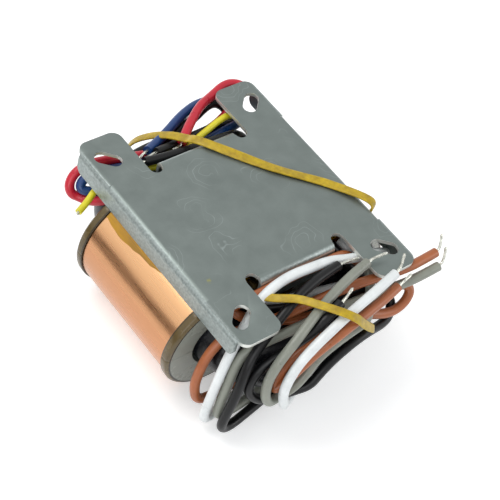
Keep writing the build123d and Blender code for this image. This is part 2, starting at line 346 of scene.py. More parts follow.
@dataclass(frozen=True)
class Zinc:
    """Zinc-plated sheet steel with faint curved scuffs, and paler on the folds, partly with wear and partly with
    painted highlight.
    """

    # pale: the scuffs' tone, and on the folds a tone that is partly wear, partly painted highlight
    pale: Colour = (0.37, 0.42, 0.41, 1)
    # bright: a painted highlight on the plate's cut edges and hole walls
    bright: Colour = (0.72, 0.74, 0.7, 1)
    stain: Colour = (0.34, 0.33, 0.08, 1)
    cell_scale: float = 58
    cell_warp: Point = (0.009, 0.012, 0.0)
    arcs: float = 10.0

    def scuffs(self, m: NodeMaker) -> Socket:
        """Arcs of rubbing, here and there on the plate.

        Args:
            m: the material in the making.

        Returns:
            The output socket with their strength.
        """
        wander = m.made("ShaderNodeTexNoise", {"Vector": m.place, "Scale": 110})["Color"]
        moved = m.vectors("MULTIPLY_ADD", wander, self.cell_warp, m.place)["Vector"]
        cells = {"Vector": moved, "Scale": self.cell_scale}
        distance = m.made("ShaderNodeTexVoronoi", cells, voronoi_dimensions="2D")["Distance"]
        rings = m.math("FRACT", m.math("MULTIPLY", distance, self.arcs))
        lines = m.ramp(rings, (0.0, 0.0), (0.43, 0.0), (0.5, 1.0), (0.57, 0.0), (1.0, 0.0))
        reach = m.ramp(distance, (0.1, 0.0), (0.15, 1.0), (0.34, 1.0), (0.42, 0.0))
        patches = m.ramp(m.noise(m.shaped(), 75, 2), (0.48, 0.0), (0.58, 1.0))
        return m.math("MULTIPLY", m.math("MULTIPLY", lines, reach), patches)

    def build(self) -> Material:
        """Makes the material.

        Returns:
            A dull greenish-grey plating with cloudy patches, scuffs, a stain, folds paler with wear and painted
            highlight, and painted highlights on the cut edges.
        """
        m = NodeMaker("zinc_plating")
        cloud, grain = m.marks(m.shaped(), 150, 1400)
        scuffs = self.scuffs(m)
        base = m.mix(cloud, Tone.ZINC_DARK.linear, Tone.ZINC.linear)
        scuffed = m.mix(m.math("MULTIPLY", scuffs, 0.5), base, self.pale)
        away = m.vectors("DISTANCE", m.place, mm(STAIN_PLACE))["Value"]
        near = m.math("ADD", m.math("MULTIPLY", away, 420.0), m.math("MULTIPLY", grain, 1.1))
        stained = m.mix(m.ramp(near, (0.62, 0.6), (0.95, 0.0)), scuffed, self.stain)
        x, y, z = m.apart()
        across, along = m.math("ABSOLUTE", x), m.math("ABSOLUTE", y)
        side = m.rise(across, 29.7, 30.4)
        fold = m.zone(along, 50, (22.7, 0.0), (23.3, 1.0), (24.6, 1.0), (24.85, 0.0))
        # the folds' pale tone is partly wear and partly a painted highlight on the bends
        fold_bands = m.math("MAXIMUM", side, m.math("MULTIPLY", fold, m.zone(across, 50, (16.0, 1.0), (16.75, 0.0))))
        fold_wear_and_sheen = m.math("MULTIPLY", fold_bands, m.ramp(grain, (0.35, 0.35), (0.65, 1.0)))
        # painted highlight: the plate's walls that do not face up, its cut edges and hole sides, take the bright tone
        tilt = m.apart(m.node("ShaderNodeNewGeometry").outputs["True Normal"])[2]
        upright = m.ramp(m.math("ABSOLUTE", tilt), (0.3, 1.0), (0.5, 0.0))
        plate = m.math("MAXIMUM", m.math("SUBTRACT", m.zone(z, 50, (39.0, 0.0), (39.5, 1.0)), side), 0.0)
        return m.finish(
            m.math("SUBTRACT", grain, m.math("MULTIPLY", scuffs, 0.6)), 0.22, 4,
            Base_Color=m.mix(m.math("MULTIPLY", upright, plate), m.mix(fold_wear_and_sheen, stained, self.pale), self.bright),
            Metallic=0.7,
            Roughness=m.ramp(cloud, (0.0, 0.36), (1.0, 0.46)),
        )


@dataclass(frozen=True)
class Foil:
    """Bright copper foil, pulled tight round a coil, with painted shade darkening its lower half."""

    # dull: painted shade, the darker copper laid on the foil's lower half
    dull: Colour = (0.57, 0.29, 0.155, 1)
    stain: Colour = (0.62, 0.28, 0.13, 1)

    def build(self) -> Material:
        """Makes the material.

        Returns:
            A smooth metal with fine lines along the coil and slight ripples.
        """
        m = NodeMaker("copper_foil")
        ripples = m.noise(m.shaped((1, 0.3, 1)), 120, 3, 0.5, 0.3)
        cloud, streaks = m.marks(m.shaped((1, 0.08, 1)), 90, 700)
        # painted shade: darker copper low on the coil, full bright copper towards its top
        copper_with_painted_shade = m.mix(m.rise(m.apart()[2], 23, 31), self.dull, Tone.COPPER.linear)
        return m.finish(
            ripples, 0.3, 12,
            Base_Color=m.mix(m.math("MULTIPLY", cloud, 0.3), copper_with_painted_shade, self.stain),
            Metallic=1.0,
            Roughness=m.ramp(streaks, (0.3, 0.24), (0.7, 0.32)),
        )


@dataclass(frozen=True)
class Film:
    """Amber insulating tape."""

    deep: Colour = (0.22, 0.11, 0.008, 1)

    def build(self) -> Material:
        """Makes the material.

        Returns:
            A thin glossy film with streaks along the coil.
        """
        m = NodeMaker("amber_film")
        streaks = m.noise(m.shaped((1, 0.1, 1)), 420, 3, 0.6, 0.2)
        return m.finish(
            streaks, 0.3, 10,
            Base_Color=m.mix(m.ramp(streaks, (0.3, 0.0), (0.7, 1.0)), self.deep, Tone.AMBER.linear),
            Roughness=0.24,
            Metallic=0.1,
            Coat_Weight=0.25,
            Coat_Roughness=0.12,
        )


@dataclass(frozen=True)
class Moulding:
    """A bobbin half: grey on its face, olive brown on its rim, with a painted shade ring just inside the rim and a
    painted contact shadow beside the foil's edge.
    """

    face: Colour = (0.31, 0.33, 0.29, 1)
    rim: Colour = (0.09, 0.062, 0.024, 1)
    # line: the dark tone of the painted shade ring and the painted contact shadow
    line: Colour = (0.02, 0.016, 0.01, 1)

    def build(self) -> Material:
        """Makes the material.

        Returns:
            A glossy moulded plastic.
        """
        m = NodeMaker("bobbin_moulding")
        x, y, z = m.apart()
        across = m.math("SUBTRACT", m.math("ABSOLUTE", x), AXIS_X * MM)
        spoke = m.made("ShaderNodeCombineXYZ", {"X": across, "Y": m.math("SUBTRACT", z, AXIS_Z * MM)})["Vector"]
        radius = m.vectors("LENGTH", spoke)["Value"]
        share = m.rise(radius, 17.7, 18.0)
        cloud, grain = m.marks(m.shaped(), 160, 700)
        face = m.mix(cloud, self.face, Tone.FACE.linear)
        rim = m.mix(cloud, self.rim, Tone.RIM.linear)
        # painted shade: a dark ring just inside the rim, and a painted contact shadow on the rim beside the foil's
        # edge
        painted_shade_ring = m.zone(radius, 20, (17.48, 0.0), (17.64, 0.95), (17.96, 0.95), (18.1, 0.0))
        painted_contact_shadow = m.zone(m.math("ABSOLUTE", y), 25, (19.6, 0.8), (19.75, 0.8), (19.9, 0.0))
        dark = m.math("MAXIMUM", painted_shade_ring, m.math("MULTIPLY", painted_contact_shadow, share))
        return m.finish(
            grain, 0.06, 4,
            Base_Color=m.mix(dark, m.mix(share, face, rim), self.line),
            Roughness=m.ramp(cloud, (0.0, 0.22), (1.0, 0.34)),
        )


@dataclass(frozen=True)
class Varnish:
    """Black varnish over the wound core strip."""

    sheen: Colour = (0.016, 0.017, 0.021, 1)

    def build(self) -> Material:
        """Makes the material.

        Returns:
            A near-black gloss with the strip's turns just felt below.
        """
        m = NodeMaker("core_varnish")
        cloud, _ = m.marks(m.shaped(), 120, 900)
        return m.finish(
            m.noise(m.shaped((1, 1, 6)), 420, 3, 0.6), 0.35, 15,
            Base_Color=m.mix(cloud, Tone.VARNISH.linear, self.sheen),
            Roughness=m.ramp(cloud, (0.0, 0.18), (1.0, 0.34)),
            Specular_IOR_Level=0.3,
        )


@dataclass(frozen=True)
class Tinned:
    """Tinned copper strands."""

    shade: Colour = (0.42, 0.42, 0.38, 1)

    def build(self) -> Material:
        """Makes the material.

        Returns:
            A bright, slightly lumpy solder skin.
        """
        m = NodeMaker("tinned_strands")
        lumps = m.noise(m.shaped(), 1500)
        return m.finish(
            lumps, 0.4, 10,
            Base_Color=m.mix(m.ramp(lumps, (0.3, 0.0), (0.7, 1.0)), self.shade, Tone.TIN.linear),
            Metallic=1.0,
            Roughness=0.27,
        )


@dataclass(frozen=True)
class Gum:
    """A dull ochre rubber band."""

    shade: Colour = (0.34, 0.22, 0.006, 1)

    def build(self) -> Material:
        """Makes the material.

        Returns:
            A slightly translucent rubber with fine chalky streaks.
        """
        m = NodeMaker("band_rubber")
        chalk, grain = m.marks(m.shaped(), 420, 2400)
        return m.finish(
            grain, 0.25, 6,
            Base_Color=m.mix(chalk, self.shade, Tone.RUBBER.linear),
            Roughness=0.42,
            Subsurface_Weight=0.25,
            Subsurface_Radius=(0.9, 0.6, 0.1),
            Subsurface_Scale=0.8 * MM,
        )


@dataclass(frozen=True)
class Enamel:
    """Enamelled winding wire, turn beside turn."""

    dark: Colour = (0.12, 0.03, 0.01, 1)
    light: Colour = (0.42, 0.15, 0.05, 1)

    def build(self) -> Material:
        """Makes the material.

        Returns:
            Fine rings of lacquered wire round the coil.
        """
        m = NodeMaker("enamelled_wire")
        waves = {"Vector": m.place, "Scale": 700}
        rings = m.made("ShaderNodeTexWave", waves, wave_type="BANDS", bands_direction="Y")["Fac"]
        return m.finish(rings, 0.6, 20, Base_Color=m.mix(rings, self.dark, self.light), Metallic=0.6, Roughness=0.3)


@dataclass(frozen=True)
class Foam:
    """A black adhesive foam pad."""

    dark: Colour = (0.01, 0.01, 0.01, 1)
    light: Colour = (0.035, 0.035, 0.035, 1)

    def build(self) -> Material:
        """Makes the material.

        Returns:
            A dull black foam with open pores.
        """
        m = NodeMaker("foam_pad")
        pores = m.noise(m.shaped(), 1800, 4, 0.7)
        return m.finish(pores, 0.6, 20, Base_Color=m.mix(pores, self.dark, self.light), Roughness=0.85)


@dataclass(frozen=True)
class Floor:
    """The plain pale surface that the transformer stands on."""

    glow: float = 0.35

    def build(self) -> Material:
        """Makes the material.

        Returns:
            A matt white that shows as white to the rays that see it.
        """
        m = NodeMaker("pale_floor")
        return m.finish(
            Base_Color=Tone.FLOOR.linear,
            Roughness=0.9,
            Specular_IOR_Level=0.1,
            Emission_Color=(1, 1, 1, 1),
            Emission_Strength=m.math("MULTIPLY", Studio.seen_rays(m.tree), self.glow),
        )


@dataclass(frozen=True)
class Card:
    """The dark card that the foil mirrors."""

    tint: Colour = (0.085, 0.035, 0.015, 1)

    def build(self) -> Material:
        """Makes the material."""
        return NodeMaker("dark_card").finish(Base_Color=self.tint, Roughness=0.9)


class Finishes:
    """Every material of the scene, made once."""

    def __init__(self) -> None:
        """Makes every material but the sleeves, which are made when a lead asks for them."""
        self.zinc, self.foil, self.film, self.moulding, self.varnish, self.tinned = (
            kind().build() for kind in (Zinc, Foil, Film, Moulding, Varnish, Tinned)
        )
        self.gum, self.enamel, self.foam, self.floor, self.card = (
            kind().build() for kind in (Gum, Enamel, Foam, Floor, Card)
        )
        self.sleeves: dict[Tone, Material] = {}

    def sleeve(self, tone: Tone) -> Material:
        """The insulation material of one colour."""
        if tone not in self.sleeves:
            self.sleeves[tone] = Insulation(tone, gloss=0.3 if tone is Tone.BLACK else 0.5).build()
        return self.sleeves[tone]


# mesh helpers


def add_object(name: str, data: Shape, material: Material) -> Piece:
    """Links new object data into the scene.

    Args:
        name: the piece's name.
        data: a mesh or a curve.
        material: its finish.

    Returns:
        The new object.
    """
    made = bpy.data.objects.new(name, data)
    bpy.context.scene.collection.objects.link(made)
    data.materials.append(material)
    return made


def add_piece(name: str, data: Shape, material: Material, slot: str, *nodes: str) -> Piece:
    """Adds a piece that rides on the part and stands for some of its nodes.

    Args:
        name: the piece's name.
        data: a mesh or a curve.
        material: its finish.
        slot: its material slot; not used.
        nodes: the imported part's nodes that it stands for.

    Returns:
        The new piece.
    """
    made = add_object(name, data, material)
    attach(made, "root")
    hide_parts(*nodes)
    return made


def mesh_from(bm: Skin, name: str, smooth_angle: float | None = 0.6) -> bpy.types.Mesh:
    """Turns a bmesh into a mesh and frees it.

    Args:
        bm: the geometry.
        name: the mesh's name.
        smooth_angle: edges sharper than this stay sharp, in radians, as a broad face's do. None leaves all flat.

    Returns:
        The mesh.
    """
    slight_bend, broad_area, most_sides = 0.05, 60 * SQUARE_MM, 4
    bmesh.ops.recalc_face_normals(bm, faces=bm.faces)
    if smooth_angle is not None:
        for face in bm.faces:
            face.smooth = True
        for edge in bm.edges:
            bend = edge.calc_face_angle(0) if edge.is_manifold else 0.0
            broad = bend > slight_bend and max(face.calc_area() for face in edge.link_faces) > broad_area
            edge.smooth = not (bend > smooth_angle or broad)
    bmesh.ops.triangulate(bm, faces=[f for f in bm.faces if len(f.verts) > most_sides])
    mesh = bpy.data.meshes.new(name)
    bm.to_mesh(mesh)
    bm.free()
    return mesh


def skin_over(rings: list[list[Vector]], closed: bool = False, wrapped: bool = True) -> Skin:
    """Joins rows of points into a skin.

    Args:
        rings: equal rows of points, in order along the path.
        closed: whether the last row joins the first.
        wrapped: whether each row is a ring. An open path of rings gets end caps.

    Returns:
        The skin.
    """
    bm = bmesh.new()
    loops = [[bm.verts.new(p) for p in ring] for ring in rings]
    for one, two in zip(loops, loops[1:] + loops[:1] if closed else loops[1:]):
        ends = (one[1:] + one[:1], two[1:] + two[:1]) if wrapped else (one[1:], two[1:])
        for corners in zip(one, *ends, two):
            bm.faces.new(corners)
    if wrapped and not closed:
        bm.faces.new(loops[0][::-1])
        bm.faces.new(loops[-1])
    return bm


def smooth_line(points: list[Vector], steps: int, closed: bool) -> list[Vector]:
    """A smooth line through every point.

    Args:
        points: the points to pass through.
        steps: samples for each run.
        closed: whether the line joins up.

    Returns:
        The samples.
    """
    count = len(points)
    line = []
    for i in range(count if closed else count - 1):
        pick = [points[(i + k) % count] if closed else points[max(0, min(count - 1, i + k))] for k in (-1, 0, 1, 2)]
        for s in range(steps):
            t = s / steps
            line.append(
                0.5 * (2 * pick[1] + (pick[2] - pick[0]) * t
                       + (2 * pick[0] - 5 * pick[1] + 4 * pick[2] - pick[3]) * t * t
                       + (3 * pick[1] - pick[0] - 3 * pick[2] + pick[3]) * t ** 3)
            )
    if not closed:
        line.append(points[-1].copy())
    return line


def softened(node: str, name: str, width: float, material: Material, slot: str, corner: Point | None = None) -> Piece:
    """A copy of a rigid piece with its sharp edges rounded off.

    Args:
        node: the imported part's node.
        name: the new piece's name.
        width: the rounding in millimetres.
        material: its finish.
        slot: its material slot.
        corner: how far the corners to round stand from the middle in X and in Y, and their radius.

    Returns:
        The new piece, which stands for the node.
    """
    flat, sharp, smooth = (math.radians(angle) for angle in (1, 40, 32))
    same, near, corner_facets, edge_facets = 1e-6, 0.05 * MM, 8, 2
    bm = bmesh.new()
    bm.from_mesh(bpy.data.objects[node].data)
    bmesh.ops.remove_doubles(bm, verts=bm.verts, dist=same)
    bmesh.ops.dissolve_limit(bm, angle_limit=flat, verts=bm.verts, edges=bm.edges)

    def bevel(edges: list[bmesh.types.BMEdge], offset: float, segments: int, clamp: bool) -> None:
        """Rounds edges off.

        Args:
            edges: the edges.
            offset: the radius in millimetres.
            segments: facets across the rounding.
            clamp: whether the rounding stops where it would overlap.
        """
        bmesh.ops.bevel(
            bm, geom=edges, offset=offset * MM, offset_type="OFFSET", affect="EDGES",
            segments=segments, profile=0.5, material=-1, clamp_overlap=clamp,
        )

    if corner is not None:
        upright = [
            e for e in bm.edges
            if all(abs(abs(v.co[k]) - corner[k] * MM) < near for v in e.verts for k in (0, 1))
        ]
        bevel(upright, corner[2], corner_facets, False)
    bevel([e for e in bm.edges if e.is_manifold and e.calc_face_angle(0) > sharp], width, edge_facets, True)
    return add_piece(name, mesh_from(bm, name, smooth), material, slot, node)


# camera and light


@dataclass(frozen=True)
class Studio:
    """Camera, lights and floor. Places in metres, but for the camera's, which is in millimetres."""

    position: Point = (-207.9, -177.3, 331.0)
    right: Point = (0.779, -0.595, 0.198)
    up: Point = (0.362, 0.684, 0.633)
    lens: float = 104.8
    sensor: float = 36.0
    aim: Point = (0, 0, 0.02)
    card_place: Point = (-0.125, 0.06, 0.0165)
    card_size: Point = (0.033, 0.5, 1)
    floor_half: float = 1.2
    soft_tint: Colour = (0.96, 0.98, 1.0, 1)
    soft_light: float = 0.5

    def camera(self) -> None:
        """Places the camera at the photograph's fitted view."""
        data = bpy.data.cameras.new("view")
        data.lens, data.sensor_width = self.lens, self.sensor
        data.clip_start, data.clip_end = 0.01, 20
        made = bpy.data.objects.new("view", data)
        x = Vector(self.right).normalized()
        z = x.cross(Vector(self.up)).normalized()
        turn = Matrix((x, z.cross(x), z)).transposed().to_4x4()
        made.matrix_world = Matrix.Translation(mm(self.position)) @ turn
        bpy.context.scene.collection.objects.link(made)
        bpy.context.scene.camera = made

    def lamp(self, name: str, place: Point, size: float, power: float, tint: Point) -> None:
        """Adds a soft rectangular lamp that faces the object.

        Args:
            name: the lamp's name.
            place: its position.
            size: side length in metres.
            power: watts.
            tint: colour.
        """
        data = bpy.data.lights.new(name, "AREA")
        data.size, data.energy, data.color = size, power, tint
        made = bpy.data.objects.new(name, data)
        made.location = place
        made.rotation_euler = (Vector(self.aim) - Vector(place)).to_track_quat("-Z", "Y").to_euler()
        bpy.context.scene.collection.objects.link(made)

    @staticmethod
    def seen_rays(tree: Tree) -> Socket:
        """Tells rays that show the surroundings from those that only light the object.

        Args:
            tree: the node tree to add to.

        Returns:
            A socket that is 1 for camera, glossy and transmission rays.
        """
        path = tree.nodes.new("ShaderNodeLightPath")
        total = path.outputs["Is Camera Ray"]
        for name in ("Is Glossy Ray", "Is Transmission Ray"):
            add = tree.nodes.new("ShaderNodeMath")
            add.operation, add.use_clamp = "ADD", True
            tree.links.new(total, add.inputs[0])
            tree.links.new(path.outputs[name], add.inputs[1])
            total = add.outputs[0]
        return total

    def sheet(self, name: str, half: float, parts: int, material: Material, place: Matrix = Matrix()) -> Piece:
        """Adds a flat sheet that belongs to the studio and not to the object.

        Args:
            name: its name.
            half: half its side length.
            parts: its divisions along each side.
            material: its finish.
            place: how it is stretched, turned and moved.

        Returns:
            The sheet.
        """
        bm = bmesh.new()
        bmesh.ops.create_grid(bm, x_segments=parts, y_segments=parts, size=half, matrix=place)
        made = add_object(name, mesh_from(bm, name), material)
        return made

    def card(self, material: Material) -> None:
        """Stands a low dark card beside the object, which only reflections show.

        Args:
            material: its finish.
        """
        upright = Matrix.Rotation(math.pi / 2, 4, "Y") @ Matrix.Diagonal((*self.card_size, 1))
        made = self.sheet("flag", 0.5, 1, material, Matrix.Translation(self.card_place) @ upright)
        made.visible_camera = made.visible_diffuse = made.visible_shadow = made.visible_transmission = False

    def build(self, finishes: Finishes) -> None:
        """Makes the floor, lights and pale surroundings.

        Args:
            finishes: the scene's materials.
        """
        self.sheet("floor", self.floor_half, 2, finishes.floor)
        self.card(finishes.card)
        self.lamp("key", (-0.25, 0.35, 0.75), size=0.5, power=3.1, tint=(1.0, 0.99, 0.97))
        self.lamp("fill", (-0.7, -0.35, 0.35), size=0.6, power=2.1, tint=(0.97, 0.985, 1.0))
        self.lamp("rim", (0.45, -0.5, 0.35), size=0.4, power=1.1, tint=(1.0, 1.0, 1.0))
        world = bpy.data.worlds.new("surroundings")
        bpy.context.scene.world = world
        world.use_nodes = True
        tree = world.node_tree
        tree.nodes.clear()
        out, mix = tree.nodes.new("ShaderNodeOutputWorld"), tree.nodes.new("ShaderNodeMixShader")
        tree.links.new(self.seen_rays(tree), mix.inputs["Fac"])
        for i, (tint, strength) in enumerate(((self.soft_tint, self.soft_light), ((1, 1, 1, 1), 1.0)), 1):
            light = tree.nodes.new("ShaderNodeBackground")
            light.inputs["Color"].default_value = tint
            light.inputs["Strength"].default_value = strength
            tree.links.new(light.outputs["Background"], mix.inputs[i])
        tree.links.new(mix.outputs["Shader"], out.inputs["Surface"])
        bpy.context.scene.view_settings.view_transform = "Standard"


# leads


@dataclass(frozen=True)
class Lead:
    """One flying lead: an insulated sleeve with a bare, tinned end. Its route runs from that end to the coil."""

    name: str
    tone: Tone
    nodes: tuple[str, ...]
    tip_end: Point
    route: tuple[Point, ...]
    radius: float = 1.4
    tip_radius: float = 0.38
    tip_inside: float = 0.6

    TIP_SIDES = 20
    TIP_STEPS = 6
    STRANDS = 5
    GROOVE = 0.13
    TWIST = 0.85
    LEAN = 0.2
    NARROW_END = 0.7

    def length(self) -> float:
        """The route's smooth length in metres, as the curve measures it.

        Returns:
            The length.
        """
        probe = bpy.data.objects.new("probe", self.curve(0.0))
        mesh = bpy.data.meshes.new_from_object(probe)
        line = [v.co.copy() for v in mesh.vertices]
        bpy.data.meshes.remove(mesh)
        bpy.data.objects.remove(probe)
        return sum((b - a).length for a, b in zip(line, line[1:]))

    def curve(self, radius: float) -> bpy.types.Curve:
        """The lead's centre line as one open spline.

        Args:
            radius: the sleeve's radius in millimetres, or 0 for a bare line.

        Returns:
            The curve.
        """
        data = bpy.data.curves.new(self.name, "CURVE")
        data.dimensions = "3D"
        data.resolution_u = 8
        data.bevel_depth = radius * MM
        data.bevel_resolution = 5
        data.use_fill_caps = radius > 0
        spline = data.splines.new("NURBS")
        spline.points.add(len(self.route) - 1)
        for point, place in zip(spline.points, self.route):
            point.co = (*mm(place), 1)
        spline.order_u = 3
        spline.use_endpoint_u = True
        return data

    def tip(self, material: Material) -> Piece:
        """The twisted, tinned strands past the sleeve's free end.

        Args:
            material: the strands' finish.

        Returns:
            The tip's piece.
        """
        start, inner, end = mm(self.route[0]), mm(self.route[1]), mm(self.tip_end)
        first = (start - inner).normalized()
        middle = start + first * (end - start).length * self.LEAN + (end - start) * self.LEAN
        line = smooth_line([start - first * self.tip_inside * MM, start, middle, end], self.TIP_STEPS, False)
        rings = []
        for i, place in enumerate(line):
            ahead = (line[min(i + 1, len(line) - 1)] - line[max(i - 1, 0)]).normalized()
            side = ahead.orthogonal().normalized() if not rings else (side - ahead * side.dot(ahead)).normalized()
            other = ahead.cross(side)
            taper = self.NARROW_END if i in (0, len(line) - 1) else 1.0
            ring = []
            for k in range(self.TIP_SIDES):
                angle = 2 * math.pi * k / self.TIP_SIDES
                lobes = 1 + self.GROOVE * math.cos(self.STRANDS * angle + i * self.TWIST)
                reach = self.tip_radius * MM * lobes * taper
                ring.append(place + side * math.cos(angle) * reach + other * math.sin(angle) * reach)
            rings.append(ring)
        name = f"{self.name}_tip"
        ends = "secondary_conductor_ends" if "secondary_hank" in self.nodes else "primary_conductor_ends"
        return add_piece(name, mesh_from(skin_over(rings), name, None), material, "tinned_copper", ends)

    def build(self, finishes: Finishes, riders: tuple[Piece, ...] = ()) -> None:
        """Args:
            finishes: the scene's materials.
            riders: other pieces that sit on this lead; not used.
        """
        slot = f"{self.tone.name.lower()}_insulation"
        sleeve = add_piece(self.name, self.curve(self.radius), finishes.sleeve(self.tone), slot, *self.nodes)
        tuple(mm(self.route[-1]))
        round(self.length(), 4)
        self.tip(finishes.tinned)


